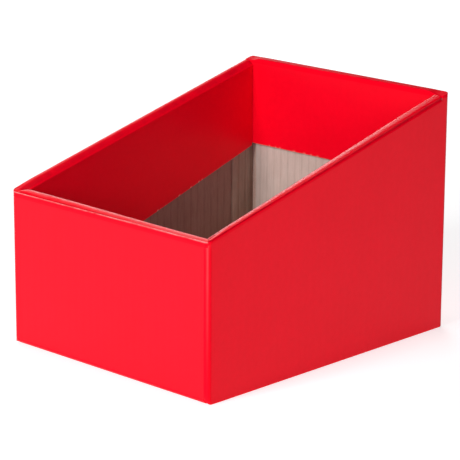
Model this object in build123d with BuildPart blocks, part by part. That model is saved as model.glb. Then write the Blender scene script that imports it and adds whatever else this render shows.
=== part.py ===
from build123d import *
import os
from math import asin, atan2, ceil, degrees, hypot

os.makedirs("parts", exist_ok=True)

# Open-topped book box folded from one blank of corrugated board, in millimetres.
# X runs from left to right along the front, Y from front to back, Z up. The origin
# is the middle of the base, on the surface that the box stands on.

# Outside of the erected box
width = 210.0
depth = 267.0
front_height = 121.0
side_height_in_front = 122.5
back_height = 190.0

# Corrugated board, from its laminated red face to its bare kraft face
facing = 0.4
core = 3.4
liner = 0.4
board = facing + core + liner

# Fluted sheet inside the board
pitch = 7.8
medium = 0.25
medium_gap = 0.03
flute_radius = 1.1

# Turned-in hems, glued back to back with the walls
glue = 0.4
hem_depth = 72.5
hem_gap = 0.4
side_hem_low_at_middle = 74.3
side_hem_low_slope = 0.33
hem_glue_width = 9.0
hem_glue_inset = 12.0

# Folded top rims
rim = 2 * board + glue
rim_slit = 0.75
mitre_slit = 0.4
rim_round = 1.6
rim_corner_round = 2.4

# Glue lap, crushed thin, on the end of the back wall
lap_glue = 0.3
lap = 1.4
lap_width = 25.0
lap_below_hem = 1.6
lap_glue_inset = 3.0

# Loose floor panel, hinged on the front wall's bottom fold, with three upright flanges
floor_side_gap = 2.2
floor_back_gap = 2.8
fold_end_gap = 0.3
flange_height = 26.0
flange_front_gap = 3.5
flange_front_taper = 6.0
flange_mitre_gap = 1.0

# Where the faces of the sleeve stand
half_width = width / 2
half_depth = depth / 2
wall_in_x = half_width - board
wall_in_y = half_depth - board
hem_in_x = half_width - rim
hem_in_y = half_depth - rim
slope = (back_height - side_height_in_front) / depth
rise = hypot(1, slope)
side_rim_drop = board * rise
front_wall_top = front_height - board
back_wall_top = back_height - board

# Where the faces of the floor stand
flange_out_x = wall_in_x - floor_side_gap
flange_in_x = flange_out_x - board
flange_out_y = wall_in_y - floor_back_gap
flange_in_y = flange_out_y - board
flange_top = board + flange_height


def top_at(y):
    """Height of the sloping top line of the side walls."""
    return side_height_in_front + (y + half_depth) * slope


def side_hem_low_at(y):
    """Height of the lower edge of the side hems."""
    return side_hem_low_at_middle + side_hem_low_slope * y


def upright(x, y, inward):
    """Plane of an upright laminated face: its normal goes into the board, its local Y is up."""
    across = Vector(0, 0, 1).cross(Vector(*inward))
    return Plane(origin=(x, y, 0), x_dir=across, z_dir=inward)


def save(piece, name):
    """Label a finished piece and write it."""
    piece.part.label = name
    export_step(piece.part, f"parts/{name}.step")


def wave_side(count, side):
    """One surface of the fluted sheet: crest and trough arcs joined by straight flanks."""
    swing = core - 2 * medium_gap - medium
    centre_height = swing / 2 - flute_radius
    half_pitch = pitch / 2
    between = hypot(half_pitch, 2 * centre_height)
    flank = degrees(atan2(2 * centre_height, half_pitch) + asin(2 * flute_radius / between))
    arcs = []
    for step in range(-count, count + 1):
        crest = 1 if step % 2 == 0 else -1
        arc = CenterArc(
            center=(step * half_pitch, core / 2 + crest * centre_height),
            radius=flute_radius + crest * side * medium / 2,
            start_angle=crest * (90 + flank),
            arc_size=-crest * 2 * flank,
        )
        if arcs:
            Line(arcs[-1] @ 1, arc @ 0)
        arcs.append(arc)
    return arcs[0] @ 0, arcs[-1] @ 1


def ply(name, plane, outline, thickness):
    """One flat sheet of the board."""
    with BuildPart() as sheet:
        with BuildSketch(plane):
            Polygon(*outline, align=None)
        extrude(amount=thickness)
    save(sheet, name)


def flutes(name, plane, outline, turn):
    """The fluted sheet, its waves running along local Y turned by an angle."""
    across = [point[0] for point in outline]
    along = [point[1] for point in outline]
    middle = ((min(across) + max(across)) / 2, (min(along) + max(along)) / 2)
    reach = hypot(max(across) - min(across), max(along) - min(along)) / 2
    turned = Plane(
        origin=plane.from_local_coords((middle[0], middle[1], 0)),
        x_dir=plane.x_dir.rotate(Axis((0, 0, 0), plane.z_dir), turn),
        z_dir=-plane.y_dir.rotate(Axis((0, 0, 0), plane.z_dir), turn),
    )
    with BuildPart() as sheet:
        with BuildSketch(turned):
            with BuildLine():
                upper = wave_side(ceil(2 * reach / pitch) + 1, 1)
                lower = wave_side(ceil(2 * reach / pitch) + 1, -1)
                Line(upper[0], lower[0])
                Line(upper[1], lower[1])
            make_face()
        extrude(amount=reach + pitch, both=True)
        with BuildSketch(plane):
            Polygon(*outline, align=None)
        extrude(amount=core, mode=Mode.INTERSECT)
    save(sheet, name)


def panel(name, plane, outline, turn=0):
    """One flat panel of the blank: facing, fluted sheet and liner."""
    ply(f"{name}_facing", plane, outline, facing)
    flutes(f"{name}_flutes", plane.offset(facing), outline, turn)
    ply(f"{name}_liner", plane.offset(facing + core), outline, liner)


def quarter_fold(name, plane, centre, start, length):
    """Board crushed round a crease: a quarter round about the crease's inner corner."""
    with BuildPart() as fold:
        with BuildSketch(plane):
            with BuildLine():
                arc = CenterArc(centre, board, start, 90)
                Line(arc @ 1, centre)
                Line(centre, arc @ 0)
            make_face()
        extrude(amount=length)
    save(fold, name)


def rectangle(left, right, low, high):
    """Corners of an upright rectangle, counter-clockwise."""
    return [(left, low), (right, low), (right, high), (left, high)]


# Walls. The front wall ends at the floor's fold, the others stand on their raw lower edges.
panel(
    "front_wall",
    upright(0, -half_depth, (0, 1, 0)),
    rectangle(-wall_in_x, wall_in_x, board, front_wall_top),
)
lap_fold_centre_x = -wall_in_x + lap_glue + board
panel(
    "back_wall",
    upright(0, half_depth, (0, -1, 0)),
    rectangle(lap_fold_centre_x, wall_in_x, 0, back_wall_top),
)
for name, side, back_end in (("left", -1, half_depth), ("right", 1, wall_in_y)):
    profile = [
        (-wall_in_y, 0),
        (back_end, 0),
        (back_end, back_wall_top),
        (hem_in_y, back_wall_top),
        (hem_in_y, top_at(hem_in_y) - side_rim_drop),
        (-wall_in_y, top_at(-wall_in_y) - side_rim_drop),
    ]
    panel(
        f"{name}_wall",
        upright(side * half_width, 0, (-side, 0, 0)),
        [(-side * y, z) for y, z in profile],
    )

# Hems. The front and back ones reach from side wall to side wall, the side ones stand between.
# The side walls' upright flutes lean by twice the top's slope where the board is turned over.
hem_half = wall_in_x - hem_gap
panel(
    "front_hem",
    upright(0, -hem_in_y, (0, -1, 0)),
    rectangle(-hem_half, hem_half, front_height - hem_depth, front_wall_top),
)
panel(
    "back_hem",
    upright(0, hem_in_y, (0, 1, 0)),
    rectangle(-hem_half, hem_half, back_height - hem_depth, back_wall_top),
)
side_hem_end = hem_in_y - hem_gap
flute_lean = 2 * degrees(atan2(slope, 1))
for name, side in (("left", -1), ("right", 1)):
    profile = [
        (-side_hem_end, side_hem_low_at(-side_hem_end)),
        (side_hem_end, side_hem_low_at(side_hem_end)),
        (side_hem_end, top_at(side_hem_end) - side_rim_drop),
        (-side_hem_end, top_at(-side_hem_end) - side_rim_drop),
    ]
    panel(
        f"{name}_hem",
        upright(side * hem_in_x, 0, (side, 0, 0)),
        [(side * y, z) for y, z in profile],
        side * flute_lean,
    )

# Glue stripes that hold each hem to its wall
with BuildPart() as hem_glue:
    for share in (-0.6, 0, 0.6):
        y = share * side_hem_end
        low = side_hem_low_at(y) + hem_glue_inset
        high = top_at(y) - side_rim_drop - hem_glue_inset
        for side in (-1, 1):
            with BuildSketch(upright(side * (wall_in_x - glue), 0, (side, 0, 0))):
                with Locations((side * y, (low + high) / 2)):
                    Rectangle(hem_glue_width, high - low)
            extrude(amount=glue)
    for share in (-0.6, 0, 0.6):
        for side, height in ((-1, front_height), (1, back_height)):
            low = height - hem_depth + hem_glue_inset
            high = height - board - hem_glue_inset
            with BuildSketch(upright(0, side * (wall_in_y - glue), (0, side, 0))):
                with Locations((share * hem_half, (low + high) / 2)):
                    Rectangle(hem_glue_width, high - low)
            extrude(amount=glue)
save(hem_glue, "hem_glue")

# Rim across the front, mitred at both ends and rounded like the folds below it
with BuildPart() as front_rim:
    with BuildSketch(Plane.XY.offset(front_height - board)):
        RectangleRounded(width, depth, board)
        Polygon(
            (-half_width + mitre_slit, -half_depth),
            (half_width - mitre_slit, -half_depth),
            (hem_in_x - mitre_slit, -hem_in_y),
            (mitre_slit - hem_in_x, -hem_in_y),
            align=None,
            mode=Mode.INTERSECT,
        )
    extrude(amount=board)
    fillet(front_rim.edges().filter_by(Axis.X).group_by(Axis.Z)[-1], rim_round)
save(front_rim, "front_rim")

# Rim across the back, full width
with BuildPart() as back_rim:
    with BuildSketch(Plane.XY.offset(back_height - board)):
        with Locations((0, half_depth - rim / 2)):
            Rectangle(width, rim)
    extrude(amount=board)
    fillet(back_rim.edges().filter_by(Axis.Z).group_by(Axis.Y)[-1], rim_corner_round)
    fillet(back_rim.edges().filter_by(Axis.X).group_by(Axis.Z)[-1], rim_round)
save(back_rim, "back_rim")

# Rims down the sides: mitred against the front rim, cut square before the back one
side_rim_back = hem_in_y - rim_slit
for name, side in (("left_rim", -1), ("right_rim", 1)):
    profile = [
        (-half_depth, top_at(-half_depth) - side_rim_drop),
        (side_rim_back, top_at(side_rim_back) - side_rim_drop),
        (side_rim_back, top_at(side_rim_back)),
        (-half_depth, top_at(-half_depth)),
    ]
    with BuildPart() as side_rim:
        with BuildSketch(upright(side * half_width, 0, (-side, 0, 0))):
            Polygon(*[(-side * y, z) for y, z in profile], align=None)
        extrude(amount=rim)
        long_edges = side_rim.edges().filter_by(lambda edge: edge.length > width)
        fillet(long_edges.sort_by(Axis.Z)[-2:], rim_round)
        with BuildSketch():
            RectangleRounded(width, depth, board)
            Polygon(
                (side * half_width, mitre_slit - half_depth),
                (side * half_width, half_depth),
                (side * hem_in_x, half_depth),
                (side * hem_in_x, mitre_slit - hem_in_y),
                align=None,
                mode=Mode.INTERSECT,
            )
        extrude(amount=back_height, mode=Mode.INTERSECT)
    save(side_rim, name)

# Upright folds between the walls
quarter_fold("front_left_fold", Plane.XY, (-wall_in_x, -wall_in_y), 180, front_wall_top)
quarter_fold("front_right_fold", Plane.XY, (wall_in_x, -wall_in_y), 270, front_wall_top)
quarter_fold("back_right_fold", Plane.XY, (wall_in_x, wall_in_y), 0, back_wall_top)
quarter_fold("lap_fold", Plane.XY, (lap_fold_centre_x, wall_in_y), 90, back_wall_top)

# Glue lap inside the left wall, cut off below the hem, and its glue
lap_out_x = -wall_in_x + lap_glue
lap_front = wall_in_y - lap_width
with BuildPart() as glue_lap:
    with BuildSketch(Plane.YZ.offset(lap_out_x)):
        Polygon(
            (lap_front, 0),
            (wall_in_y, 0),
            (wall_in_y, side_hem_low_at(wall_in_y) - lap_below_hem),
            (lap_front, side_hem_low_at(lap_front) - lap_below_hem),
            align=None,
        )
    extrude(amount=lap)
save(glue_lap, "glue_lap")
with BuildPart() as lap_glue_strip:
    with BuildSketch(Plane.YZ.offset(-wall_in_x)):
        Polygon(
            *rectangle(
                lap_front + lap_glue_inset,
                wall_in_y - lap_glue_inset,
                lap_glue_inset,
                side_hem_low_at(lap_front) - lap_below_hem - lap_glue_inset,
            ),
            align=None,
        )
    extrude(amount=lap_glue)
save(lap_glue_strip, "lap_glue")

# Floor panel, laminated face down, and the fold that hinges it on the front wall
panel("floor", Plane.XY, rectangle(-flange_in_x, flange_in_x, -wall_in_y, flange_in_y))
fold_half = wall_in_x - fold_end_gap
quarter_fold(
    "floor_fold", Plane.YZ.offset(-fold_half), (-wall_in_y, board), 180, 2 * fold_half
)

# Floor flanges, mitred where they meet so that they can lie flat on the floor together
flange_front = -wall_in_y + flange_front_gap
flange_back = flange_in_y - flange_mitre_gap
for name, side in (("left", -1), ("right", 1)):
    profile = [
        (flange_front, board),
        (flange_back, board),
        (flange_back - flange_height, flange_top),
        (flange_front + flange_front_taper, flange_top),
    ]
    panel(
        f"{name}_flange",
        upright(side * flange_out_x, 0, (-side, 0, 0)),
        [(-side * y, z) for y, z in profile],
        90,
    )
back_flange_half = flange_in_x - flange_mitre_gap
panel(
    "back_flange",
    upright(0, flange_out_y, (0, -1, 0)),
    [
        (-back_flange_half, board),
        (back_flange_half, board),
        (back_flange_half - flange_height, flange_top),
        (flange_height - back_flange_half, flange_top),
    ],
)

# Folds between the floor and its flanges
flange_run = flange_back - flange_front
quarter_fold(
    "left_flange_fold", Plane.XZ.offset(-flange_back), (-flange_in_x, board), 180, flange_run
)
quarter_fold(
    "right_flange_fold", Plane.XZ.offset(-flange_back), (flange_in_x, board), 270, flange_run
)
quarter_fold(
    "back_flange_fold",
    Plane.YZ.offset(-back_flange_half),
    (flange_in_y, board),
    270,
    2 * back_flange_half,
)
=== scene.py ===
import math

import bmesh
import bpy
from mathutils import Matrix, Vector, noise


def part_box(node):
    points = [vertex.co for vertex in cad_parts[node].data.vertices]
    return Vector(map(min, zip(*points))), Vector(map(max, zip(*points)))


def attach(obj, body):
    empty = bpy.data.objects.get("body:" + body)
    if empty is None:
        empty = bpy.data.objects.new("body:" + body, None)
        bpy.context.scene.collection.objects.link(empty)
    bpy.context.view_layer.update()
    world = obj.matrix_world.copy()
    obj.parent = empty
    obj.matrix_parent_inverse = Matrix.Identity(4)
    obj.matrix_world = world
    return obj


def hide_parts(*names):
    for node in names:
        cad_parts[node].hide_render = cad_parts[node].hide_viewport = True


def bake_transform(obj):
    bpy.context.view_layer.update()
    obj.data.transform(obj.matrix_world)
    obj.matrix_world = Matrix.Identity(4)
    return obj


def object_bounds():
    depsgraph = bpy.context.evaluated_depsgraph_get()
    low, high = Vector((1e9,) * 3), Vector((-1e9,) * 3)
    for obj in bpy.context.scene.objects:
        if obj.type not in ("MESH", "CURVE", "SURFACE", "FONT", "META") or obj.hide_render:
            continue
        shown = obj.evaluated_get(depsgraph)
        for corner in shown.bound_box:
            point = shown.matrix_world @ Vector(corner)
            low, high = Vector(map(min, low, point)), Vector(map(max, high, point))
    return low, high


# Open-topped book box of corrugated board: glossy red laminate outside and over the
# turned-in hems, bare kraft inside. All lengths are in metres, in the CAD's frame.

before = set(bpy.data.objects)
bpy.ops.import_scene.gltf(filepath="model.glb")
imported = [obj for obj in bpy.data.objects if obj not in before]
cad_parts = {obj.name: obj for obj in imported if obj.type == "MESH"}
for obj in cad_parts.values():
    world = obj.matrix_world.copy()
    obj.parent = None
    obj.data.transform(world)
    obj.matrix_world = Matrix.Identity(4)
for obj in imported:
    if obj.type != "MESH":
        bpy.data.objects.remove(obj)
cad_box = [list(corner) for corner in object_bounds()]

MM = 0.001


# Where the faces of the board stand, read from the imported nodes

def span(node, axis):
    """Lowest and highest coordinate of a CAD node along X, Y or Z."""
    low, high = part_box(node)
    return low[axis], high[axis]


def thickness(node, axis):
    """Size of a CAD node along X, Y or Z."""
    low, high = span(node, axis)
    return high - low


HALF_X = cad_box[1][0]
HALF_Y = cad_box[1][1]
BACK_TOP = cad_box[1][2]
FRONT_TOP = span("front_rim", 2)[1]
BOARD = thickness("front_rim", 2)
RIM = thickness("back_rim", 1)
FACING = thickness("back_wall_facing", 1)
LAP = thickness("glue_lap", 0)
WALL_X = HALF_X - BOARD
WALL_Y = HALF_Y - BOARD
HEM_X = HALF_X - RIM
HEM_Y = HALF_Y - RIM
SIDE_RIM_END = span("right_rim", 1)[1]

# Driving dimensions of the CAD that its boxes don't show
PITCH = 7.8 * MM
HEM_LOW_SLOPE = 0.33

SETTLING_ROUNDS = 30


def rim_slope():
    """Slope of the side rims, from their packed box: its height is run times slope plus the board."""
    low, high = span("right_rim", 2)
    run = thickness("right_rim", 1)
    slope = 0.0
    for _ in range(SETTLING_ROUNDS):
        slope = (high - low - BOARD * math.hypot(1, slope)) / run
    return slope


SLOPE = rim_slope()
SIDE_DROP = BOARD * math.hypot(1, SLOPE)


def side_top(y):
    """Height of the sloping top line of the side walls."""
    return span("right_rim", 2)[1] + (y - SIDE_RIM_END) * SLOPE


def side_hem_low(y):
    """Height of the lower edge of the side hems."""
    end, _ = span("left_hem_facing", 1)
    return span("left_hem_facing", 2)[0] + (y - end) * HEM_LOW_SLOPE


# Small shared pieces of mesh code

SMOOTH_ANGLE = 38
DEEPEST_SINK = 0.7


def spaced(start, end, step):
    """Numbers from start to end, about one step apart."""
    count = max(1, round(abs(end - start) / step))
    return [start + (end - start) * i / count for i in range(count + 1)]


def ease(t):
    """Smooth step from 0 to 1."""
    t = min(1.0, max(0.0, t))
    return t * t * (3 - 2 * t)


def bell(offset, width):
    """1 at no offset, falling off smoothly to 0 either side."""
    return math.exp(-(offset / width) ** 2)


def wander(x, y, z, scale):
    """Smooth noise from -1 to 1 whose features are about one scale across."""
    return noise.noise(Vector((x / scale + 0.37, y / scale + 0.71, z / scale + 0.13)))


def build_mesh(name, points, faces, materials, face_slots=None, values=None, sharp=SMOOTH_ANGLE):
    """A closed mesh object in the frame, with smooth shading between sharp edges."""
    mesh = bpy.data.meshes.new(name)
    mesh.from_pydata([tuple(point) for point in points], [], faces)
    for material in materials:
        mesh.materials.append(material)
    if face_slots:
        mesh.polygons.foreach_set("material_index", face_slots)
    for key, numbers in (values or {}).items():
        attribute = mesh.attributes.new(key, "FLOAT", "POINT")
        attribute.data.foreach_set("value", numbers)
    work = bmesh.new()
    work.from_mesh(mesh)
    bmesh.ops.recalc_face_normals(work, faces=work.faces)
    work.to_mesh(mesh)
    work.free()
    mesh.shade_smooth()
    mesh.set_sharp_from_angle(angle=math.radians(sharp))
    piece = bpy.data.objects.new(name, mesh)
    bpy.context.scene.collection.objects.link(piece)
    return piece


def stand_for(piece, body, slot, *nodes):
    """The piece rides on a body and replaces CAD nodes; slot is not used."""
    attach(piece, body)
    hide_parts(*nodes)
    return piece


def plane_x(at, inward):
    """Places (y, z, depth) on a plane across X."""
    return lambda u, v, depth: Vector((at + inward * depth, u, v))


def plane_y(at, inward):
    """Places (x, z, depth) on a plane across Y."""
    return lambda u, v, depth: Vector((u, at + inward * depth, v))


def plane_z(at, inward):
    """Places (x, y, depth) on a level plane."""
    return lambda u, v, depth: Vector((u, v, at + inward * depth))


def standing_net(columns, low, high, rows):
    """A net of (u, v) points between a lower and an upper edge."""
    return [[(u, low(u) + (high(u) - low(u)) * t) for t in rows] for u in columns]


def tapered_net(heights, left, right, shares):
    """A net of (u, v) points between two slanting ends."""
    return [[(left(v) + (right(v) - left(v)) * s, v) for v in heights] for s in shares]


def slab(name, place, net, deep, relief, material):
    """A ply of board: relief gives the sink of its seen face, its painted flute shade and its wear.

    No relief sinks deeper than a share of the ply's thickness."""
    across = len(net)
    along = len(net[0])
    points = []
    flute_shade = []
    wear_and_highlight = []
    for column in net:
        for u, v in column:
            sink, groove, worn_and_highlit = relief(u, v)
            points.append(place(u, v, min(sink, DEEPEST_SINK * deep)))
            flute_shade.append(groove)
            wear_and_highlight.append(worn_and_highlit)
    for column in net:
        for u, v in column:
            points.append(place(u, v, deep))
            flute_shade.append(0.0)
            wear_and_highlight.append(0.0)
    back = across * along
    faces = []
    for i in range(across - 1):
        for j in range(along - 1):
            a = i * along + j
            faces.append((a, a + along, a + along + 1, a + 1))
            faces.append((back + a, back + a + 1, back + a + along + 1, back + a + along))
    border = [i * along for i in range(across)]
    border += [(across - 1) * along + j for j in range(1, along)]
    border += [i * along + along - 1 for i in range(across - 2, -1, -1)]
    border += [j for j in range(along - 2, 0, -1)]
    for here, there in zip(border, border[1:] + border[:1]):
        faces.append((here, there, back + there, back + here))
    values = {"flute_shade": flute_shade, "wear_and_highlight": wear_and_highlight}
    return build_mesh(name, points, faces, [material], values=values)


def sweep(name, loops, materials, side_slots, values, end_slot=1, sharp=SMOOTH_ANGLE):
    """A closed solid through loops of points, with flat ends. side_slots has one entry a side."""
    count = len(loops[0])
    points = [point for loop in loops for point in loop]
    faces = []
    slots = []
    for i in range(len(loops) - 1):
        for j in range(count):
            k = (j + 1) % count
            faces.append((i * count + j, i * count + k, (i + 1) * count + k, (i + 1) * count + j))
            slots.append(side_slots[j])
    last = (len(loops) - 1) * count
    faces.append(tuple(range(count)))
    faces.append(tuple(range(last + count - 1, last - 1, -1)))
    slots += [end_slot, end_slot]
    return build_mesh(name, points, faces, materials, slots, values, sharp)


# Node materials

RED = (0.88, 0.0006, 0.014)
DEEP_RED = (0.81, 0.0004, 0.011)
# Darker red painted as shade along creases and on the turned-away side of folds
CREASE_SHADE_RED = (0.50, 0.0005, 0.010)
# Pale red of real scuffs at the fold ends, and of the painted highlights on the rims and folds
PALE_RED = (0.90, 0.34, 0.33)
CUT_PAPER = (0.80, 0.58, 0.45)
LIGHT_KRAFT = (0.62, 0.51, 0.45)
DARK_KRAFT = (0.45, 0.355, 0.30)
FLECK_TINT = (0.45, 0.4, 0.35)
LIGHT_GLUE = (0.70, 0.62, 0.47)
DARK_GLUE = (0.52, 0.43, 0.30)

# The range that most of a noise's values keep to, and which way the paper's fibres run
NOISE_LOW = 0.3
NOISE_HIGH = 0.7
UPRIGHT = (1, 1, 0.1)
LEVEL = (1, 0.1, 1)


def nodes_of(material):
    """The material's empty node tree with its shader and output."""
    material.use_nodes = True
    tree = material.node_tree
    tree.nodes.clear()
    shader = tree.nodes.new("ShaderNodeBsdfPrincipled")
    output = tree.nodes.new("ShaderNodeOutputMaterial")
    tree.links.new(shader.outputs["BSDF"], output.inputs["Surface"])
    return tree, shader


def object_place(tree, stretch=(1, 1, 1)):
    """Object coordinates, stretched."""
    where = tree.nodes.new("ShaderNodeTexCoord")
    mapping = tree.nodes.new("ShaderNodeMapping")
    mapping.inputs["Scale"].default_value = stretch
    tree.links.new(where.outputs["Object"], mapping.inputs["Vector"])
    return mapping.outputs["Vector"]


def noise_value(tree, vector, scale, detail=3, roughness=0.55):
    """Noise from 0 to 1."""
    node = tree.nodes.new("ShaderNodeTexNoise")
    node.inputs["Scale"].default_value = scale
    node.inputs["Detail"].default_value = detail
    node.inputs["Roughness"].default_value = roughness
    tree.links.new(vector, node.inputs["Vector"])
    return node.outputs["Fac"]


def remap(tree, value, low, high, to_low, to_high):
    """Value mapped from one range to another, clamped."""
    node = tree.nodes.new("ShaderNodeMapRange")
    node.inputs["From Min"].default_value = low
    node.inputs["From Max"].default_value = high
    node.inputs["To Min"].default_value = to_low
    node.inputs["To Max"].default_value = to_high
    tree.links.new(value, node.inputs["Value"])
    return node.outputs["Result"]


def spread(tree, noise_factor, to_low, to_high):
    """The usual range of a noise value mapped to another range, clamped."""
    return remap(tree, noise_factor, NOISE_LOW, NOISE_HIGH, to_low, to_high)


def mathematics(tree, operation, first, second):
    """A Math node with a linked first input and a linked or fixed second one."""
    node = tree.nodes.new("ShaderNodeMath")
    node.operation = operation
    tree.links.new(first, node.inputs[0])
    if isinstance(second, (int, float)):
        node.inputs[1].default_value = second
    else:
        tree.links.new(second, node.inputs[1])
    return node.outputs["Value"]


def blend_colour(tree, factor, first, second):
    """Mix of two colours, each a socket or fixed."""
    node = tree.nodes.new("ShaderNodeMix")
    node.data_type = "RGBA"
    tree.links.new(factor, node.inputs["Factor"])
    for socket, colour in ((node.inputs[6], first), (node.inputs[7], second)):
        if isinstance(colour, tuple):
            socket.default_value = (*colour, 1)
        else:
            tree.links.new(colour, socket)
    return node.outputs[2]


def point_value(tree, key):
    """A value that the mesh code stored at each point."""
    node = tree.nodes.new("ShaderNodeAttribute")
    node.attribute_name = key
    return node.outputs["Fac"]


def bump(tree, shader, height, distance, strength):
    """Fine bump on the shader."""
    node = tree.nodes.new("ShaderNodeBump")
    node.inputs["Strength"].default_value = strength
    node.inputs["Distance"].default_value = distance
    tree.links.new(height, node.inputs["Height"])
    tree.links.new(node.outputs["Normal"], shader.inputs["Normal"])


def laminate(name, pale, rough_low, rough_high, shine=0.1):
    """Printed and film-laminated red paper: ink mottling, painted shade along creases and folds, and pale
    marks: fine scuffs and bare edges, and painted highlights on the rims and folds.
    """
    material = bpy.data.materials.new(name)
    tree, shader = nodes_of(material)
    plain = object_place(tree)
    brushed = object_place(tree, (1.0, 1.0, 0.12))
    mottle = spread(tree, noise_value(tree, plain, scale=260, detail=4), 0, 0.45)
    cloud = spread(tree, noise_value(tree, plain, scale=22, detail=2), 0, 0.4)
    # Painted shade along the faint flute lines
    flute_shade = mathematics(tree, "MULTIPLY", point_value(tree, "flute_shade"), 0.05)
    ink_and_flute_shade = mathematics(tree, "ADD", mathematics(tree, "ADD", mottle, cloud), flute_shade)
    colour = blend_colour(tree, ink_and_flute_shade, RED, DEEP_RED)
    # Painted shade: darker red where the mesh code marks shaded creases and folds
    colour = blend_colour(tree, point_value(tree, "crease_and_painted_shade"), colour, CREASE_SHADE_RED)
    streaks = remap(tree, noise_value(tree, brushed, scale=900, detail=3), 0.25, 0.75, 0.7, 1.0)
    # Pale marks, broken up by streaks: real scuffs and bare edges, and painted highlights along the rims
    # and folds
    worn_and_highlit = mathematics(tree, "MULTIPLY", point_value(tree, "wear_and_highlight"), streaks)
    colour = blend_colour(tree, worn_and_highlit, colour, pale)
    tree.links.new(colour, shader.inputs["Base Color"])
    rough = spread(tree, noise_value(tree, brushed, scale=420, detail=4), rough_low, rough_high)
    rough_where_pale = mathematics(tree, "MULTIPLY", point_value(tree, "wear_and_highlight"), 0.25)
    rough = mathematics(tree, "ADD", rough, rough_where_pale)
    tree.links.new(rough, shader.inputs["Roughness"])
    shader.inputs["Specular IOR Level"].default_value = shine
    bump(tree, shader, noise_value(tree, plain, scale=700, detail=2), distance=0.0001, strength=0.06)
    return material


def kraft(name, light, dark, fibre_stretch, fleck=0.35):
    """Unbleached paper: long fibres, small flecks, and painted shade along the grooves where the flutes
    are glued.
    """
    material = bpy.data.materials.new(name)
    tree, shader = nodes_of(material)
    plain = object_place(tree)
    stretched = object_place(tree, fibre_stretch)
    fibres = noise_value(tree, stretched, scale=650, detail=6, roughness=0.7)
    cloud = spread(tree, noise_value(tree, plain, scale=55, detail=4), 0, 0.35)
    # Painted shade along the flute grooves, and on the lap along its scores and in its corner under the
    # hem
    line = mathematics(tree, "MULTIPLY", point_value(tree, "flute_shade"), 0.4)
    tone = mathematics(tree, "ADD", spread(tree, fibres, 0, 0.55), cloud)
    tone = mathematics(tree, "ADD", tone, line)
    colour = blend_colour(tree, tone, light, dark)
    dots = noise_value(tree, plain, scale=1500, detail=2, roughness=0.4)
    specks = remap(tree, dots, 0.66, 0.74, 0, fleck)
    fleck_colour = tuple(part * tint for part, tint in zip(dark, FLECK_TINT))
    colour = blend_colour(tree, specks, colour, fleck_colour)
    tree.links.new(colour, shader.inputs["Base Color"])
    tree.links.new(spread(tree, fibres, 0.72, 0.92), shader.inputs["Roughness"])
    shader.inputs["Specular IOR Level"].default_value = 0.2
    bump(tree, shader, fibres, distance=0.00025, strength=0.35)
    return material


def dried_glue(name):
    """Cream-coloured starch glue, slightly shiny and uneven."""
    material = bpy.data.materials.new(name)
    tree, shader = nodes_of(material)
    cloud = noise_value(tree, object_place(tree), scale=140, detail=4)
    tree.links.new(blend_colour(tree, cloud, LIGHT_GLUE, DARK_GLUE), shader.inputs["Base Color"])
    tree.links.new(spread(tree, cloud, 0.3, 0.5), shader.inputs["Roughness"])
    bump(tree, shader, cloud, distance=0.0003, strength=0.4)
    return material


red_film = laminate("red_laminate", PALE_RED, 0.30, 0.40)
red_fold = laminate("red_laminate_folded", PALE_RED, 0.28, 0.40, shine=0.04)
red_cut = laminate("red_laminate_cut", CUT_PAPER, 0.30, 0.40)
red_dull = laminate("red_laminate_dull", PALE_RED, 0.5, 0.6, shine=0.012)
kraft_up = kraft("kraft_liner_upright", LIGHT_KRAFT, DARK_KRAFT, UPRIGHT)
# Painted shade: a darker, redder copy of the kraft liner for the inside of the left wall, which lies in
# shadow
kraft_left_shaded = kraft("kraft_liner_left_shaded", (0.35, 0.215, 0.165), (0.24, 0.14, 0.105), UPRIGHT)
kraft_flat = kraft("kraft_liner_level", LIGHT_KRAFT, DARK_KRAFT, LEVEL)
kraft_wave = kraft("kraft_fluting", (0.46, 0.34, 0.26), (0.27, 0.18, 0.13), (1, 1, 0.15), fleck=0.5)
# The crushed glue lap's kraft: darker where crushed and glued, and darkened further as painted shade like
# the left liner
kraft_crushed_and_shaded = kraft("kraft_crushed_and_shaded", (0.38, 0.265, 0.2), (0.25, 0.165, 0.12), UPRIGHT)
kraft_cut = kraft("kraft_cut_edge", (0.62, 0.46, 0.38), (0.40, 0.25, 0.19), (1, 1, 1), fleck=0.6)
glue = dried_glue("dried_glue")


# Relief of the plies' seen faces

FACE_SINK = 0.03 * MM
FACE_SWELL = 0.10 * MM
SWELL_SPACING = 55 * MM
LINE_SINK = 0.17 * MM
LINE_DRIFT = 0.25 * MM
DRIFT_SPACING = 40 * MM
UNEVEN_SPACING = 25 * MM
LINE_WIDTH = 0.8 * MM
EDGE_FADE = 7 * MM
BEND_RUN = 10 * MM
CORNER_BEND = 0.33 * MM


def line_share(u, phase):
    """1 at a line where a flute is glued on, falling off quickly to 0 between lines."""
    near = abs((u - phase + PITCH / 2) % PITCH - PITCH / 2)
    return bell(near, LINE_WIDTH)


def inside_share(u, v, left, right, low, high):
    """0 at the border of a rectangle, 1 from a short way inside it."""
    return ease(min(u - left, right - u, v - low, high - v) / EDGE_FADE)


def laminated(left, right, low, high, seed, lean=0.0, bend=0.0):
    """Relief of a laminated ply: the flutes show faintly, and the sheet is not quite flat.

    bend is how far it draws back towards its first end."""
    middle = (left + right) / 2

    def relief(u, v):
        turned = (u - middle) * math.cos(lean) + v * math.sin(lean)
        wave = 0.5 + 0.5 * math.cos(2 * math.pi * turned / PITCH)
        swell = 0.5 + 0.5 * wander(u, v, seed, SWELL_SPACING)
        share = inside_share(u, v, left, right, low, high)
        drawn = bend * max(0.0, 1 - (u - left) / BEND_RUN) ** 2
        # The second value is painted shade along the sunk flute lines
        return share * (FACE_SINK * wave + FACE_SWELL * swell) + drawn, 0.5 * wave * share, 0.0

    return relief


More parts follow.
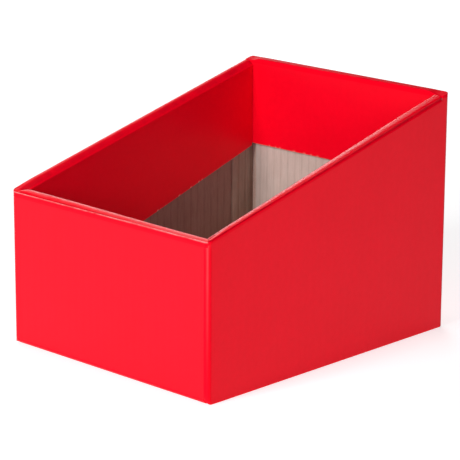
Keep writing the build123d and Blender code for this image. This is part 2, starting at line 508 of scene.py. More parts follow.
def lined(left, right, seed, strength=1.0):
    """Relief of a bare liner: narrow grooves where the flutes are glued on, a little uneven."""
    middle = (left + right) / 2

    def relief(u, v):
        line = line_share(u + LINE_DRIFT * wander(u, v, seed, DRIFT_SPACING), middle)
        uneven = 0.8 + 0.35 * wander(u, v, seed + 3, UNEVEN_SPACING)
        # The second value is painted shade along the grooves
        return strength * LINE_SINK * line * uneven, strength * line * uneven, 0.0

    return relief


def even(level):
    """The same value everywhere."""
    return lambda u: level


# Walls, hems, floor and flanges

ROWS = [i / 12 for i in range(13)]
FACE_STEP = PITCH / 6
LINER_STEP = PITCH / 12
TOP_STEP = 0.01 * MM

# Each part's own pattern of unevenness
SEEDS = {"front": 5, "back": 4, "left": 4, "right": 5, "floor": 31, "flange": 41}


def wall_net(side, node, axis, top, step):
    """Net of a wall's ply. The side walls' top edge steps up where the back rim starts."""
    columns = spaced(*span(node, axis), step)
    if side in ("left", "right"):
        columns = sorted(columns + [HEM_Y - TOP_STEP, HEM_Y + TOP_STEP])
    return standing_net(columns, even(span(node, 2)[0]), top, ROWS)


def wall_facing(side, place, axis, top):
    """Outer red ply of a wall."""
    node = f"{side}_wall_facing"
    net = wall_net(side, node, axis, top, FACE_STEP)
    bend = CORNER_BEND if side == "right" else 0.0
    relief = laminated(*span(node, axis), *span(node, 2), SEEDS[side], bend=bend)
    piece = slab(f"{node}_sheet", place, net, FACING, relief, red_film)
    stand_for(piece, "sleeve", "red_facing", node)


def wall_liner(side, place, axis, top):
    """Inner kraft ply of a wall."""
    node = f"{side}_wall_liner"
    net = wall_net(side, node, axis, top, LINER_STEP)
    relief = lined(*span(node, axis), SEEDS[side])
    # The left wall's liner takes the shaded copy of kraft, as painted shade
    skin = kraft_left_shaded if side == "left" else kraft_up
    piece = slab(f"{node}_sheet", place, net, FACING, relief, skin)
    stand_for(piece, "sleeve", "kraft_liner", node)


def side_wall_top(y):
    """Top edge of the side walls' plies: under the sloping rim, then level under the back rim."""
    if y < HEM_Y:
        return side_top(y) - SIDE_DROP
    return BACK_TOP - BOARD


FRONT_WALL_TOP = even(FRONT_TOP - BOARD)
BACK_WALL_TOP = even(BACK_TOP - BOARD)
wall_facing("front", plane_y(-HALF_Y, 1), 0, FRONT_WALL_TOP)
wall_facing("back", plane_y(HALF_Y, -1), 0, BACK_WALL_TOP)
wall_facing("left", plane_x(-HALF_X, 1), 1, side_wall_top)
wall_facing("right", plane_x(HALF_X, -1), 1, side_wall_top)
wall_liner("front", plane_y(-WALL_Y, -1), 0, FRONT_WALL_TOP)
wall_liner("back", plane_y(WALL_Y, 1), 0, BACK_WALL_TOP)
wall_liner("left", plane_x(-WALL_X, -1), 1, side_wall_top)
wall_liner("right", plane_x(WALL_X, 1), 1, side_wall_top)


# Lower edges of the hems: how ragged they are, how they curl, and where bare paper shows
TORN = 0.5 * MM
TORN_SPACING = 9 * MM
NICK_SPACING = 1.9 * MM
NICK_SHARE = 0.75
CURL = 0.22 * MM
CURL_HEIGHT = 1.1 * MM
BARE_HEIGHT = 0.3 * MM
SPECK_HEIGHT = 0.95 * MM
SPECK_SPACING = 2.3 * MM
SPECK_START = 0.3
SPECK_SHARPNESS = 5
BARE_SHARE = 0.25
BACK_FRAY = 0.35
HEM_STEP = 0.6 * MM

# Places up the hems, as shares, closest together near the cut edge
HEM_ROWS = [0, 0.006, 0.013, 0.021, 0.032, 0.05] + [0.09 + 0.91 * i / 9 for i in range(10)]


def torn_edge(low, seed):
    """A cut edge that is a little ragged, with small nicks."""

    def edge(u):
        coarse = 0.5 + 0.5 * wander(u, seed, 0, TORN_SPACING)
        fine = max(0.0, wander(u, seed, 5, NICK_SPACING))
        return low(u) + TORN * coarse * (1 - NICK_SHARE + NICK_SHARE * fine)

    return edge


def hem_facing(side, place, axis, low, top, lean):
    """Red ply of a turned-in hem, whose lower edge is cut bare."""
    node = f"{side}_hem_facing"
    left, right = span(node, axis)
    seed = SEEDS[side] + 11
    frayed = BACK_FRAY if side == "back" else 1
    edge = torn_edge(low, seed)
    net = standing_net(spaced(left, right, HEM_STEP), edge, top, HEM_ROWS)
    shallow = laminated(left, right, *span(node, 2), seed, lean)

    def relief(u, v):
        sink, flute_shade, _ = shallow(u, v)
        up = v - edge(u)
        curl = CURL * bell(up, CURL_HEIGHT)
        speck = frayed * ease(SPECK_SHARPNESS * (wander(u, seed, 2, SPECK_SPACING) - SPECK_START))
        bare = BARE_SHARE * bell(up, BARE_HEIGHT) + speck * bell(up, SPECK_HEIGHT)
        return sink + curl, flute_shade, min(1.0, bare)

    piece = slab(f"{node}_sheet", place, net, FACING, relief, red_cut)
    stand_for(piece, "sleeve", "red_facing", node)


def side_rim_low(y):
    """Lower edge of the side rims."""
    return side_top(y) - SIDE_DROP


FRONT_HEM_LOW = even(span("front_hem_facing", 2)[0])
BACK_HEM_LOW = even(span("back_hem_facing", 2)[0])
LEAN = 2 * math.atan(SLOPE)
hem_facing("front", plane_y(-HEM_Y, -1), 0, FRONT_HEM_LOW, FRONT_WALL_TOP, 0)
hem_facing("back", plane_y(HEM_Y, 1), 0, BACK_HEM_LOW, BACK_WALL_TOP, 0)
hem_facing("left", plane_x(-HEM_X, -1), 1, side_hem_low, side_rim_low, LEAN)
hem_facing("right", plane_x(HEM_X, 1), 1, side_hem_low, side_rim_low, LEAN)


# Floor: the liner stops just short of the creases that it folds about
CREASE_GAP = 0.06 * MM
FLANGE_ROW = 2.2 * MM


def floor_plies():
    """Red and kraft plies of the floor panel."""
    left, right = span("floor_facing", 0)
    front, back = span("floor_facing", 1)
    columns = spaced(left, right, LINER_STEP)
    net = standing_net(columns, even(front), even(back), ROWS)
    relief = laminated(left, right, front, back, SEEDS["floor"])
    piece = slab("floor_facing_sheet", plane_z(0, 1), net, FACING, relief, red_film)
    stand_for(piece, "floor", "red_facing", "floor_facing")
    columns = spaced(left + CREASE_GAP, right - CREASE_GAP, LINER_STEP)
    net = standing_net(columns, even(front + CREASE_GAP), even(back - CREASE_GAP), ROWS)
    relief = lined(left, right, SEEDS["floor"] + 1)
    piece = slab("floor_liner_sheet", plane_z(BOARD, -1), net, FACING, relief, kraft_flat)
    stand_for(piece, "floor", "kraft_liner", "floor_liner")


def flange_plies(side, axis, out_place, in_place, front_cut, back_cut):
    """Red and kraft plies of one of the floor's upright flanges, cut slanting at both ends."""
    left, right = span(f"{side}_flange_facing", axis)
    low, high = span(f"{side}_flange_facing", 2)
    heights = spaced(low, high, FLANGE_ROW)
    shares = spaced(0, 1, LINER_STEP / (right - left))
    net = tapered_net(
        heights,
        lambda v: left + front_cut * (v - low) / (high - low),
        lambda v: right - back_cut * (v - low) / (high - low),
        shares,
    )
    relief = laminated(left, right, low, high, SEEDS["flange"])
    piece = slab(f"{side}_flange_facing_sheet", out_place, net, FACING, relief, red_film)
    stand_for(piece, f"{side}_flange", "red_facing", f"{side}_flange_facing")
    relief = lined(left, right, SEEDS["flange"] + 1, strength=0.3)
    piece = slab(f"{side}_flange_liner_sheet", in_place, net, FACING, relief, kraft_up)
    stand_for(piece, f"{side}_flange", "kraft_liner", f"{side}_flange_liner")


FLANGE_HEIGHT = thickness("left_flange_facing", 2)
FRONT_TAPER = 6 * MM
FLANGE_OUT_X = span("right_flange_facing", 0)[1]
FLANGE_OUT_Y = span("back_flange_facing", 1)[1]
floor_plies()
flange_plies(
    "left", 1, plane_x(-FLANGE_OUT_X, 1), plane_x(BOARD - FLANGE_OUT_X, -1), FRONT_TAPER, FLANGE_HEIGHT
)
flange_plies(
    "right", 1, plane_x(FLANGE_OUT_X, -1), plane_x(FLANGE_OUT_X - BOARD, 1), FRONT_TAPER, FLANGE_HEIGHT
)
flange_plies(
    "back", 0, plane_y(FLANGE_OUT_Y, -1), plane_y(FLANGE_OUT_Y - BOARD, 1), FLANGE_HEIGHT, FLANGE_HEIGHT
)


# Rims: the board folded over the top, with a crease at each edge. Profiles are in
# millimetres: across from the outside face, and up from the top of the wall. The left rim is
# rolled along its whole length, and the right one goes from tight at the front to wide at the back.

FRONT_PROFILE = [
    (0.00, 0.00), (0.00, 1.50), (0.00, 2.60), (0.03, 3.10), (0.12, 3.50), (0.28, 3.84),
    (0.52, 4.02), (0.80, 4.00), (1.05, 3.80), (1.45, 3.50), (2.10, 3.38), (2.90, 3.48),
    (3.70, 3.76), (4.50, 4.00), (5.40, 4.14), (6.30, 4.20), (7.10, 4.19), (7.75, 4.08),
    (8.20, 3.86), (8.52, 3.50), (8.70, 3.05), (8.80, 2.50), (8.80, 1.30), (8.80, 0.00),
]
BACK_PROFILE = [
    (0.00, 0.00), (0.00, 2.00), (0.00, 2.90), (0.06, 3.35), (0.25, 3.72), (0.60, 3.97),
    (1.10, 4.07), (2.00, 4.10), (3.50, 4.12), (5.00, 4.16), (6.40, 4.20), (7.40, 4.19),
    (8.00, 4.12), (8.40, 3.94), (8.65, 3.64), (8.77, 3.25), (8.80, 2.80), (8.80, 1.40),
    (8.80, 0.00),
]
ROLLED_PROFILE = [
    (0.00, 0.00), (0.00, 1.60), (0.00, 2.85), (0.05, 3.35), (0.20, 3.78), (0.48, 4.04),
    (0.90, 4.17), (1.50, 4.20), (2.30, 4.14), (3.20, 4.00), (4.10, 3.76), (5.00, 3.42),
    (5.80, 3.02), (6.60, 2.50), (7.30, 1.95), (7.90, 1.38), (8.40, 0.82), (8.70, 0.38),
    (8.80, 0.00),
]
TIGHT_PROFILE = [
    (0.00, 0.00), (0.00, 1.20), (0.05, 2.10), (0.34, 2.60), (0.50, 2.95), (0.34, 3.28),
    (0.16, 3.56), (0.18, 3.84), (0.42, 4.08), (0.90, 4.19), (1.60, 4.20), (2.50, 4.10),
    (3.50, 3.86), (4.50, 3.52), (5.50, 3.06), (6.40, 2.52), (7.20, 1.92), (7.90, 1.30),
    (8.40, 0.80), (8.70, 0.38), (8.80, 0.00),
]
WIDE_PROFILE = [
    (0.00, 0.00), (0.00, 0.25), (0.22, 0.75), (0.62, 1.40), (0.88, 2.15), (0.90, 2.85),
    (0.78, 3.28), (0.80, 3.60), (1.10, 3.90), (1.70, 4.08), (2.50, 4.15), (3.50, 4.20),
    (4.50, 4.20), (5.50, 4.20), (6.50, 4.20), (7.30, 4.18), (7.90, 4.05), (8.35, 3.70),
    (8.65, 3.10), (8.80, 1.60), (8.80, 0.00),
]
WIDE = RIM / MM

# Unevenness: dents in the part of the profile above LOWEST_DENT, and the painted highlights and painted
# crease shade in patches with small flaws
DENT = 0.1 * MM
DENT_SPACING = 22 * MM
LOWEST_DENT = 3
PATCH_SPACING = 16 * MM
FLAW_SPACING = 3.5 * MM

# The front rim's lifted inner side, and where across the profile the lift starts and over how much
INNER_RISE = 1.5 * MM
RISE_START = 0.9
RISE_RUN = 2.4

# Corners: the slit in each mitre, the step from the side rims down to the front rim and the share of
# their run that it takes, the back rim's left rounding, and where and over what run its ends come down
SLIT = 0.08 * MM
FRONT_STEP = 0.3 * MM
MEETING = 0.08
LEFT_ROUNDING = 2.4 * MM
END_DROP = 16 * MM
END_DROP_RUN = 10 * MM

# Places along the rims, as shares: close together at the ends, where the corners are rounded
RIM_STEP = 2.4 * MM
LEVEL_SHARES = spaced(-0.955, 0.955, RIM_STEP / HALF_X)
FRONT_TIPS = [0.965 + 0.005 * i for i in range(8)]
BACK_TIPS = [0.96, 0.966, 0.972, 0.978, 0.984, 0.989, 0.993, 0.9965, 0.9985, 1.0]
SIDE_SHARES = [0.004 * i for i in range(8)] + spaced(0.03, 0.985, 0.0095) + [0.99, 0.995, 1.0]

# How strong the painted highlight and the painted shade are at the profiles' points, by their place in
# the list, from 0 to 1
FRONT_HIGHLIGHT = {
    4: 0.3, 5: 0.8, 6: 0.9, 7: 0.8, 8: 0.3, 11: 0.08, 12: 0.13, 13: 0.14, 14: 0.14, 15: 0.14,
    16: 0.13, 17: 0.1,
}
FRONT_SHADE = {8: 0.3, 9: 1.0, 10: 0.7}
LEFT_HIGHLIGHT = {3: 0.1, 4: 0.2, 5: 0.25, 6: 0.3, 7: 0.3, 8: 0.2, 9: 0.1}
LEFT_SHADE = {10: 0.25, 11: 0.5, 12: 0.6, 13: 0.6, 14: 0.5, 15: 0.3}
TIGHT_HIGHLIGHT = {6: 0.1, 7: 0.2, 8: 0.25, 9: 0.25, 10: 0.12}
TIGHT_SHADE = {3: 1.0, 4: 1.0, 5: 0.8, 11: 0.8, 12: 1.0, 13: 0.9, 14: 1.0, 15: 1.0, 16: 1.0, 17: 0.9}
WIDE_HIGHLIGHT = {11: 0.04, 12: 0.06, 13: 0.06, 14: 0.06, 15: 0.06, 16: 0.12, 17: 0.14, 18: 0.1}
WIDE_SHADE = {3: 0.9, 4: 1.0, 5: 1.0, 6: 0.5}
BACK_SHADE = {12: 0.3, 13: 0.6, 14: 0.4}


def corner_inset(beyond, radius):
    """How far a rounded corner stands back, that far beyond the start of its rounding."""
    if beyond <= 0:
        return 0.0
    return radius - math.sqrt(max(0.0, radius ** 2 - beyond ** 2))


def dent(s, h, place, seed):
    """Slight unevenness of the rim's top, none at its edges."""
    if h < LOWEST_DENT:
        return 0.0
    return DENT * wander(place, seed, 0, DENT_SPACING) * math.sin(math.pi * min(1, s / WIDE))


def mitre(across):
    """How far from both outer faces a line of the profile meets the mitre, round the corner."""
    far = across
    for _ in range(SETTLING_ROUNDS):
        inset = corner_inset(BOARD - SLIT - far, BOARD)
        far = (far + inset + across * (1 - inset / RIM)) / 2
    return far


def patchy(strength, place, seed):
    """A strength made uneven along a crease."""
    patch = wander(place, seed, 0, PATCH_SPACING)
    flaw = wander(place, seed, 7, FLAW_SPACING)
    return strength * min(1.0, max(0.0, 0.6 + 0.7 * patch + 0.55 * flaw))


def both_tips(tips):
    """Shares along a level rim from its left end to its right one."""
    return [-tip for tip in reversed(tips)] + LEVEL_SHARES + tips


def inner_rise(share):
    """How far the front rim's inner side is lifted: most near the left end, none at that end."""
    return INNER_RISE * ease(0.62 - 0.55 * share) * (1 - 0.35 * share) * ease((1 + share) / 0.06)


def front_rim():
    """Rim over the front wall, mitred and rounded at both ends. Its inner edge rises to the left."""
    ends = [HALF_X - SLIT - mitre(s * MM) for s, _ in FRONT_PROFILE]
    loops = []
    wear_and_highlight = []
    crease_and_painted_shade = []
    for share in both_tips(FRONT_TIPS):
        loop = []
        for j, (s, h) in enumerate(FRONT_PROFILE):
            x = share * ends[j]
            inset = corner_inset(abs(x) - WALL_X, BOARD)
            across = inset + s * MM * (1 - inset / RIM)
            lift = inner_rise(share) * ease((s - RISE_START) / RISE_RUN) * h * MM / BOARD
            z = FRONT_TOP - BOARD + h * MM + dent(s, h, x, 0) + lift
            loop.append(Vector((x, -HALF_Y + across, z)))
            # Painted highlights on the outer edge and the top, painted shade in the dip behind the edge
            wear_and_highlight.append(patchy(FRONT_HIGHLIGHT.get(j, 0.0), x, j // 4))
            crease_and_painted_shade.append(patchy(FRONT_SHADE.get(j, 0.0), x, 5))
        loops.append(loop)
    fold_over("front_rim", loops, wear_and_highlight, crease_and_painted_shade, 1, red_fold)


def fold_over(node, loops, wear_and_highlight, crease_and_painted_shade, end_slot, skin):
    """The finished piece of a rim, which stands for its CAD node."""
    sides = [0] * (len(loops[0]) - 1) + [1]
    values = {"wear_and_highlight": wear_and_highlight, "flute_shade": [0.0] * len(wear_and_highlight), "crease_and_painted_shade": crease_and_painted_shade}
    piece = sweep(f"{node}_fold", loops, [skin, kraft_cut], sides, values, end_slot)
    stand_for(piece, "sleeve", "folded_board", node)


def front_height(across):
    """Height of the front rim's top that far across it, in profile millimetres."""
    top = FRONT_PROFILE[5:20]
    for (s, h), (s_next, h_next) in zip(top, top[1:]):
        if across <= s_next:
            return h + (h_next - h) * max(0.0, across - s) / (s_next - s)
    return top[-1][1]


def side_rim(node, side, profiles, worn_and_highlit, dark, settle):
    """Rim down a side wall, mitred at the front. Each pair holds its front and its back.

    settle is the share of the slope that its front end gives up to meet the level front rim."""
    fronts = [-HALF_Y + SLIT + mitre(s * MM) for s, _ in profiles[0]]
    loops = []
    wear_and_highlight = []
    crease_and_painted_shade = []
    for share in SIDE_SHARES:
        turn = ease(share)
        loop = []
        for j, ((s, h), (s_last, h_last)) in enumerate(zip(*profiles)):
            s += (s_last - s) * turn
            h += (h_last - h) * turn
            h -= max(0.0, h - front_height(s)) * (1 - ease(share / MEETING))
            y = fronts[j] + share * (SIDE_RIM_END - fronts[j])
            inset = corner_inset(-(y + WALL_Y), BOARD)
            across = inset + s * MM * (1 - inset / RIM)
            height = (h * MM + dent(s, h, y, side)) * SIDE_DROP / BOARD
            climb = (fronts[j] + HALF_Y) * SLOPE * settle
            lower = (FRONT_STEP + climb) * (1 - ease(share / MEETING))
            z = side_top(y) - SIDE_DROP + height - lower * h * MM / BOARD
            loop.append(Vector((side * (HALF_X - across), y, z)))
            # Painted highlights and painted crease shade, blended from the front's tables to the back's
            pale = worn_and_highlit[0].get(j, 0.0) * (1 - turn) + worn_and_highlit[1].get(j, 0.0) * turn
            deep = dark[0].get(j, 0.0) * (1 - turn) + dark[1].get(j, 0.0) * turn
            wear_and_highlight.append(patchy(pale, y, side + j // 4))
            crease_and_painted_shade.append(patchy(deep, y, 3 + j // 9))
        loops.append(loop)
    fold_over(node, loops, wear_and_highlight, crease_and_painted_shade, 0, red_fold)


def back_rim():
    """Rim over the back wall, full width. Its ends come down to the line of the side rims."""
    loops = []
    crease_and_painted_shade = []
    for share in both_tips(BACK_TIPS):
        x = share * HALF_X
        radius = BOARD if x > 0 else LEFT_ROUNDING
        inset = corner_inset(abs(x) - (HALF_X - radius), radius)
        slanting = ease((abs(x) - HALF_X + END_DROP) / END_DROP_RUN)
        loop = []
        for j, (s, h) in enumerate(BACK_PROFILE):
            y = HALF_Y - inset * (1 - s / WIDE) - s * MM
            drop = slanting * (BACK_TOP - side_top(y)) * h * MM / BOARD
            z = BACK_TOP - BOARD + h * MM + min(0.0, dent(s, h, x, 2)) - drop
            loop.append(Vector((x, y, z)))
            # Painted shade along the inner crease
            crease_and_painted_shade.append(patchy(BACK_SHADE.get(j, 0.0), x, 4))
        loops.append(loop)
    fold_over("back_rim", loops, [0.0] * len(crease_and_painted_shade), crease_and_painted_shade, 0, red_dull)


front_rim()
side_rim(
    "left_rim",
    -1,
    profiles=(ROLLED_PROFILE, ROLLED_PROFILE),
    worn_and_highlit=(LEFT_HIGHLIGHT, LEFT_HIGHLIGHT),
    dark=(LEFT_SHADE, LEFT_SHADE),
    settle=0.85,
)
side_rim(
    "right_rim",
    1,
    profiles=(TIGHT_PROFILE, WIDE_PROFILE),
    worn_and_highlit=(TIGHT_HIGHLIGHT, WIDE_HIGHLIGHT),
    dark=(TIGHT_SHADE, WIDE_SHADE),
    settle=0.2,
)
back_rim()


# Upright folds between the walls: flattened a little, scuffed at their ends, with a painted highlight
# along a ridge and painted shade where given

FOLD_SEGMENTS = 16
FOLD_STEP = 3 * MM
FOLD_SMOOTH_ANGLE = 50
CRUSH = 0.035
CRUSH_CHANGE = 0.015
CRUSH_SPACING = 20 * MM
SCUFF = 0.08
SCUFF_HEIGHT = 1.2 * MM
SCUFF_SPACING = 3 * MM
RIDGE_SPACING = 12 * MM
RIDGE_WIDTH = 0.13
RIDGE_FADE = 1.6
SHADE_WIDTH = 0.3


def quarter(centre, start, crush, bend):
    """Outer arc of a folded corner, slightly flattened between its two score lines.

    bend is how far its far end draws back."""
    arc = []
    for i in range(FOLD_SEGMENTS + 1):
        t = i / FOLD_SEGMENTS
        angle = math.radians(start + 90 * t)
        flat = 1 - crush * math.sin(math.pi * t) ** 2 * abs(math.sin(2 * math.pi * t))
        reach = BOARD * flat - bend * t * t
        arc.append((centre[0] + reach * math.cos(angle), centre[1] + reach * math.sin(angle)))
    return arc


def upright_fold(node, centre, start, top, bottom, worn_and_highlit=(0, 0), dark=(0, 0), bend=0.0):
    """The board bent round an upright corner: red outside, kraft in the narrow inner corner.

    Of the two pairs, the first places a painted highlight on the arc and gives its strength, the second
    does the same for painted shade."""
    tall = thickness(node, 2)
    loops = []
    wear_and_highlight = []
    crease_and_painted_shade = []
    for share in spaced(0, 1, FOLD_STEP / tall):
        height = share * tall
        crush = CRUSH + CRUSH_CHANGE * wander(height, centre[0], 0, CRUSH_SPACING)
        arc = quarter(centre, start, crush, bend) + [centre]
        loops.append([Vector((x, y, bottom(y) + share * (top(y) - bottom(y)))) for x, y in arc])
        end = math.exp(-min(height, tall - height) / SCUFF_HEIGHT)
        uneven = 0.9 + 0.3 * wander(height, 2, 3, RIDGE_SPACING)
        for i in range(FOLD_SEGMENTS + 2):
            t = i / FOLD_SEGMENTS
            scuff = SCUFF * end * (0.5 + 0.5 * wander(height, i, 3, SCUFF_SPACING))
            # Painted highlight along a ridge of the arc, strongest at the top
            ridge_highlight = worn_and_highlit[1] * bell(t - worn_and_highlit[0], RIDGE_WIDTH) * share ** RIDGE_FADE * uneven
            wear_and_highlight.append(scuff + ridge_highlight)
            # Painted shade across the arc
            crease_and_painted_shade.append(dark[1] * bell(t - dark[0], SHADE_WIDTH))
        wear_and_highlight[-1] = 0.0
    sides = [0] * FOLD_SEGMENTS + [1, 1]
    values = {"wear_and_highlight": wear_and_highlight, "flute_shade": [0.0] * len(wear_and_highlight), "crease_and_painted_shade": crease_and_painted_shade}
    end_slot = 0 if node.startswith("front") else 1
    piece = sweep(
        f"{node}_bend", loops, [red_fold, kraft_cut], sides, values, end_slot, FOLD_SMOOTH_ANGLE
    )
    stand_for(piece, "sleeve", "folded_board", node)


def front_fold_top(y):
    """Underside of the rims over the front folds."""
    return max(FRONT_TOP - BOARD, side_rim_low(y))


def front_fold_bottom(y):
    """Lower end of the front folds, rounded like the floor's hinge fold between them."""
    beyond = min(BOARD, max(0.0, -(y + WALL_Y)))
    return BOARD - math.sqrt(BOARD ** 2 - beyond ** 2)


LAP_FOLD_X = span("lap_fold", 0)[1]
GROUND = even(0.0)
upright_fold("front_left_fold", (-WALL_X, -WALL_Y), 180, front_fold_top, front_fold_bottom)
upright_fold(
    "front_right_fold",
    (WALL_X, -WALL_Y),
    270,
    front_fold_top,
    front_fold_bottom,
    # a painted highlight a little before the middle of the arc
    worn_and_highlit=(0.45, 0.17),
    bend=CORNER_BEND,
)
# Painted highlight along the right side's edge of the arc, painted shade across its middle
upright_fold(
    "back_right_fold", (WALL_X, WALL_Y), 0, BACK_WALL_TOP, GROUND, worn_and_highlit=(0.0, 0.15), dark=(0.45, 1.0)
)
upright_fold("lap_fold", (LAP_FOLD_X, WALL_Y), 90, even(span("lap_fold", 2)[1]), GROUND)


# Lap: its taper at the cut edge, its crease in the corner, its grooves, and the scores and shade beside
# the corner. Two columns more keep the cut edge and the crease crisp.
CUT_COLUMN = 0.15 * MM
CREASE_COLUMN = 0.3 * MM
LAP_TAPER = 0.85 * MM
LAP_TAPER_RUN = 2.6 * MM
LAP_CREASE = 0.5 * MM
LAP_CREASE_WIDTH = 0.6 * MM
LAP_LINE_SINK = 0.3 * MM
LAP_LINE_DRIFT = 0.3 * MM
LAP_DRIFT_SPACING = 30 * MM
LAP_PRESSED = 0.12 * MM
LAP_PRESSED_SPACING = 14 * MM
SCORE_PLACE = 3.4 * MM
SCORE_WIDTH = 0.7 * MM
CORNER_SCORE_WIDTH = 0.9 * MM
SHADE_HEIGHT = 14 * MM
SHADE_RUN = 4.5 * MM


def glue_lap():
    """The lap inside the left wall: crushed thin by its glue, thinnest along its cut front edge."""
    front, back = span("glue_lap", 1)
    low, _ = span("glue_lap", 2)
    drop = side_hem_low(back) - span("glue_lap", 2)[1]
    columns = sorted(spaced(front, back, LINER_STEP) + [front + CUT_COLUMN, back - CREASE_COLUMN])
    net = standing_net(columns, even(low), lambda y: side_hem_low(y) - drop, ROWS)

    def relief(u, v):
        line = line_share(u + LAP_LINE_DRIFT * wander(u, v, 8, LAP_DRIFT_SPACING), front)
        score = bell(back - u - SCORE_PLACE, SCORE_WIDTH) + bell(back - u, CORNER_SCORE_WIDTH)
        # Painted shadow under the hem at the top of the corner
        corner = bell(side_hem_low(back) - v, SHADE_HEIGHT) * bell(back - u, SHADE_RUN)
        taper = LAP_TAPER * bell(u - front, LAP_TAPER_RUN)
        crease_and_painted_shade = LAP_CREASE * bell(back - u, LAP_CREASE_WIDTH)
        pressed = LAP_PRESSED * (0.5 + 0.5 * wander(u, v, 9, LAP_PRESSED_SPACING))
        sink = LAP_LINE_SINK * (line + score) + taper + crease_and_painted_shade + pressed
        # The second value darkens the kraft: painted shade along the grooves and scores and in the corner
        return sink, 0.8 * line + 1.8 * score + 1.6 * corner, 0.0

    piece = slab("glue_lap_crushed", plane_x(span("glue_lap", 0)[1], -1), net, LAP, relief, kraft_crushed_and_shaded)
    stand_for(piece, "sleeve", "kraft_lap", "glue_lap")


glue_lap()


# Folds of the floor, at its hinge and the creases of its flanges

HINGE_SEGMENTS = 14
HINGE_STEP = 4 * MM


def bending_fold(node, place, axis, start_angle, end_slot=1):
    """The quarter round of board along a crease."""
    loops = []
    for along in spaced(*span(node, axis), HINGE_STEP):
        loop = []
        for i in range(HINGE_SEGMENTS + 1):
            angle = math.radians(start_angle + 90 * i / HINGE_SEGMENTS)
            loop.append(place(along, BOARD * math.cos(angle), BOARD * math.sin(angle)))
        loop.append(place(along, 0.0, 0.0))
        loops.append(loop)
    sides = [0] * HINGE_SEGMENTS + [1, 1]
    total = len(loops) * (HINGE_SEGMENTS + 2)
    values = {"wear_and_highlight": [0.0] * total, "flute_shade": [0.0] * total}
    piece = sweep(
        f"{node}_bend", loops, [red_fold, kraft_cut], sides, values, end_slot, FOLD_SMOOTH_ANGLE
    )
    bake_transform(piece)
    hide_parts(node)


def floor_folds():
    """The floor's hinge on the front wall, and the creases of its three flanges."""
    flange_in_x = FLANGE_OUT_X - BOARD
    flange_in_y = FLANGE_OUT_Y - BOARD
    bending_fold(
        "floor_fold",
        lambda x, a, b: Vector((x, -WALL_Y + a, BOARD + b)),
        0,
        180,
        end_slot=0,
    )
    for side, sign, start_angle in (("left", -1, 180), ("right", 1, 270)):
        bending_fold(
            f"{side}_flange_fold",
            lambda y, a, b, sign=sign: Vector((sign * flange_in_x + a, y, BOARD + b)),
            1,
            start_angle,
        )
    bending_fold(
        "back_flange_fold",
        lambda x, a, b: Vector((x, flange_in_y + a, BOARD + b)),
        0,
        270,
    )


floor_folds()


# Finish of the CAD nodes that stay

def dress(name, material):
    """Puts a material on a CAD node's own slots."""
    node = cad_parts[name]
    if not node.material_slots:
        node.data.materials.append(material)
    for holder in node.material_slots:
        holder.material = material


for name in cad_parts:
    if name.endswith("_flutes"):
        dress(name, kraft_wave)
    elif name.endswith("_hem_liner"):
        dress(name, kraft_up)
    elif name.endswith("_glue"):
        dress(name, glue)


# Studio: pale floor, soft light, camera

FLOOR_HALF = 6.0
FLOOR_DROP = 0.0002
PALE_GREY = (0.66, 0.66, 0.66)
DEEPER_GREY = (0.64, 0.64, 0.64)
WHITE = (1, 1, 1)
FLOOR_GLOW = 0.6
ROOM_LIGHT = 0.03
LAMP_AIM = (0, 0, 0.1)
FILL_AIM = (0, 0, 0.12)
COOL_WHITE = (0.88, 0.87, 1.0)

# The camera's place was found by fitting the box's edges to the photo's
AZIMUTH = 43.84
ELEVATION = 15.25
ROLL = 0.31
CAMERA_AIM = (-0.0133, 0.0118, 0.0796)
DISTANCE = 1.8037
LENS = 180.2
SENSOR = 36


def studio_floor():
    """A wide, plain, pale floor just under the box."""
    ways = ((-1, -1), (1, -1), (1, 1), (-1, 1))
    corners = [(x * FLOOR_HALF, y * FLOOR_HALF, -FLOOR_DROP) for x, y in ways]
    mesh = bpy.data.meshes.new("studio_floor")
    mesh.from_pydata(corners, [], [(0, 1, 2, 3)])
    material = bpy.data.materials.new("studio_white")
    tree, shader = nodes_of(material)
    cloud = noise_value(tree, object_place(tree), scale=3, detail=2)
    colour = blend_colour(tree, cloud, PALE_GREY, DEEPER_GREY)
    tree.links.new(colour, shader.inputs["Base Color"])
    shader.inputs["Emission Color"].default_value = (*WHITE, 1)
    shader.inputs["Emission Strength"].default_value = FLOOR_GLOW
    shader.inputs["Roughness"].default_value = 0.9
    shader.inputs["Specular IOR Level"].default_value = 0.1
    mesh.materials.append(material)
    ground = bpy.data.objects.new("studio_floor", mesh)
    bpy.context.scene.collection.objects.link(ground)


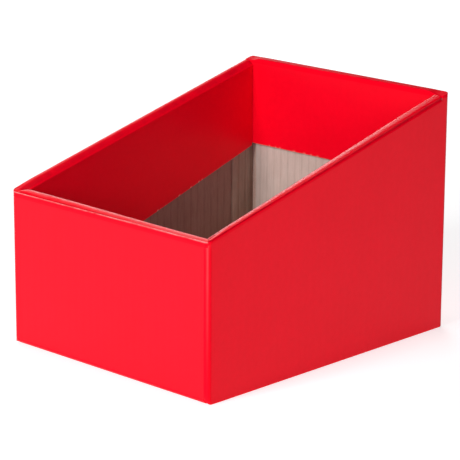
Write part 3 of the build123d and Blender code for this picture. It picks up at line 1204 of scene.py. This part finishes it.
def soft_light(name, place, aim, size, watts, colour=WHITE):
    """A square soft box that points at a spot."""
    data = bpy.data.lights.new(name, "AREA")
    data.shape = "SQUARE"
    data.size = size
    data.energy = watts
    data.color = colour
    light = bpy.data.objects.new(name, data)
    light.location = place
    light.rotation_euler = (Vector(aim) - Vector(place)).to_track_quat("-Z", "Y").to_euler()
    bpy.context.scene.collection.objects.link(light)


def white_room(strength):
    """Even white light from all around."""
    world = bpy.data.worlds.new("white_room")
    world.use_nodes = True
    background = world.node_tree.nodes["Background"]
    background.inputs["Color"].default_value = (*WHITE, 1)
    background.inputs["Strength"].default_value = strength
    bpy.context.scene.world = world


def camera():
    """Long lens from the right front, a little above."""
    azimuth = math.radians(AZIMUTH)
    elevation = math.radians(ELEVATION)
    roll = math.radians(ROLL)
    towards = Vector((
        -math.sin(azimuth) * math.cos(elevation),
        math.cos(azimuth) * math.cos(elevation),
        -math.sin(elevation),
    ))
    right = Vector((math.cos(azimuth), math.sin(azimuth), 0))
    up = right.cross(towards)
    x_axis = math.cos(roll) * right + math.sin(roll) * up
    y_axis = -math.sin(roll) * right + math.cos(roll) * up
    data = bpy.data.cameras.new("camera")
    data.lens = LENS
    data.sensor_width = SENSOR
    eye = bpy.data.objects.new("camera", data)
    turn = Matrix((x_axis, y_axis, -towards)).transposed().to_4x4()
    eye.matrix_world = Matrix.Translation(Vector(CAMERA_AIM) - DISTANCE * towards) @ turn
    bpy.context.scene.collection.objects.link(eye)
    bpy.context.scene.camera = eye


studio_floor()
white_room(ROOM_LIGHT)
soft_light("key", (-0.05, -2.2, 1.05), LAMP_AIM, size=0.8, watts=50)
soft_light("right_fill", (1.0, -0.82, 0.43), FILL_AIM, size=0.5, watts=6.7, colour=COOL_WHITE)
soft_light("overhead", (0.0, 0.0, 2.4), LAMP_AIM, size=0.5, watts=9)
soft_light("behind", (-2.3, 1.45, 0.95), LAMP_AIM, size=1.6, watts=50)
camera()
bpy.context.scene.view_settings.view_transform = "Standard"
